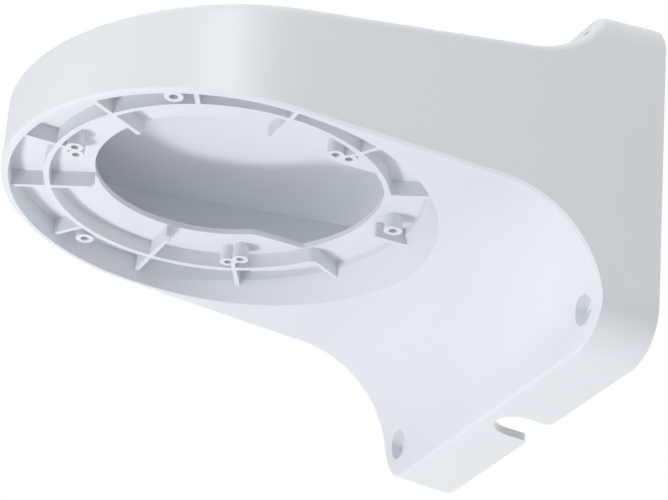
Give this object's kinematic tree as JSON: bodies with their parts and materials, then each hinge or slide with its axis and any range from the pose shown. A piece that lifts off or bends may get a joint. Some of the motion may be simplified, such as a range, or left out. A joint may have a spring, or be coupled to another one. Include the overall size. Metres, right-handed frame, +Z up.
{
  "type": "camera wall bracket",
  "caption": "Hollow moulded wall bracket with a round arm that carries a dome camera on a ribbed ring under it, open at the wall side.",
  "frame": {"origin": "centre of the rectangle of the four wall screws, in the wall plane", "axes": "+Y into the wall, X along the wall, +Z up; the arm reaches towards -Y"},
  "size_m": [0.1422, 0.181, 0.115],
  "materials": {
    "white_plastic": "satin"
  },
  "bodies": {
    "root": {"wall_bracket": "white_plastic"}
  },
  "joints": []
}
